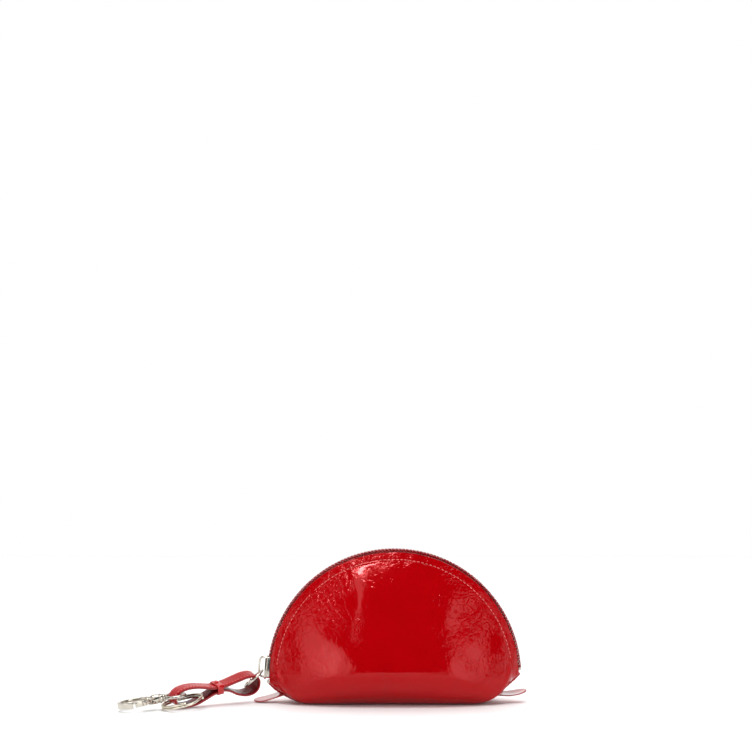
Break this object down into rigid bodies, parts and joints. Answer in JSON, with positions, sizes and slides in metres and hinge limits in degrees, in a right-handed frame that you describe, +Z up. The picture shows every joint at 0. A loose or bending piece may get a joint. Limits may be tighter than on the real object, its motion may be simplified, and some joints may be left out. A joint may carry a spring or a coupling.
{
  "type": "zip coin purse with key strap",
  "caption": "Half-moon zip coin purse in glossy leather with a boxed base, a key strap, a swivel snap hook and a split ring.",
  "frame": {"origin": "on the surface the purse stands on, under the middle of its base", "axes": "+X along the base away from the key strap, -Y out of the front panel, +Z up"},
  "size_m": [0.2011, 0.0654, 0.0768],
  "materials": {
    "patent_leather": "high-gloss crinkled patent, red",
    "lining": "plain woven lining, dark",
    "zip_tape": "woven tape, dark red",
    "zip_teeth": "moulded coil, dark red",
    "nickel": "polished pale nickel plate"
  },
  "bodies": {
    "purse": {"back_panel": "patent_leather", "base_panel": "patent_leather", "back_lining": "lining", "base_lining": "lining", "back_zip_tape": "zip_tape", "back_zip_teeth": "zip_teeth", "top_stop_back": "nickel", "bottom_stop": "nickel", "left_tab": "patent_leather", "right_tab": "patent_leather"},
    "front_half": {"front_panel": "patent_leather", "front_lining": "lining", "front_zip_tape": "zip_tape", "front_zip_teeth": "zip_teeth", "top_stop_front": "nickel"},
    "slider": {"slider_body": "nickel", "slider_crown": "nickel"},
    "ring": {"jump_ring": "nickel"},
    "strap": {"strap_band": "patent_leather", "strap_keeper": "patent_leather"},
    "key_ring": {"split_ring": "nickel"},
    "swivel": {"swivel_eye": "nickel", "swivel_head": "nickel"},
    "hook": {"hook_body": "nickel", "gate_pin": "nickel", "gate_spring": "nickel"},
    "gate": {"gate_lever": "nickel"}
  },
  "joints": [
    {"name": "zip_travel", "type": "hinge", "parent": "purse", "child": "slider", "pos_m": [0, 0, 0.0132], "axis": [0, 1, 0], "range_deg": [0, 165], "deforming": ["front_zip_teeth", "back_zip_teeth", "front_zip_tape", "back_zip_tape"]},
    {"name": "mouth_open", "type": "hinge", "parent": "purse", "child": "front_half", "pos_m": [0, -0.025, 0.018], "axis": [1, 0, 0], "range_deg": [0, 25]},
    {"name": "ring_lift", "type": "hinge", "parent": "slider", "child": "ring", "pos_m": [-0.0658, 0, 0.016], "axis": [0, 1, 0], "range_deg": [0, 60]},
    {"name": "strap_turn", "type": "hinge", "parent": "ring", "child": "strap", "pos_m": [-0.0702, -0.0013, 0.0121], "axis": [-0.6599, -0.047, 0.7499], "range_deg": [0, 35]},
    {"name": "key_ring_turn", "type": "hinge", "parent": "strap", "child": "key_ring", "pos_m": [-0.10364, -0.02913, 0.00399], "axis": [-0.2296, -0.0746, 0.9704], "continuous": true},
    {"name": "eye_swing", "type": "hinge", "parent": "strap", "child": "swivel", "pos_m": [-0.10292, -0.0246, 0.00723], "axis": [-0.3672, 0.9301, 0], "range_deg": [0, 35]},
    {"name": "hook_swivel", "type": "hinge", "parent": "swivel", "child": "hook", "pos_m": [-0.1138, -0.0289, 0.0057], "axis": [-0.9222, -0.3641, -0.13], "continuous": true},
    {"name": "gate_press", "type": "hinge", "parent": "hook", "child": "gate", "pos_m": [-0.11883, -0.0339, 0.00485], "axis": [-0.1209, -0.0477, 0.9915], "range_deg": [0, 22]}
  ],
  "couplings": [
    {"joint": "mouth_open", "follows": "zip_travel", "ratio": 0.15152}
  ]
}
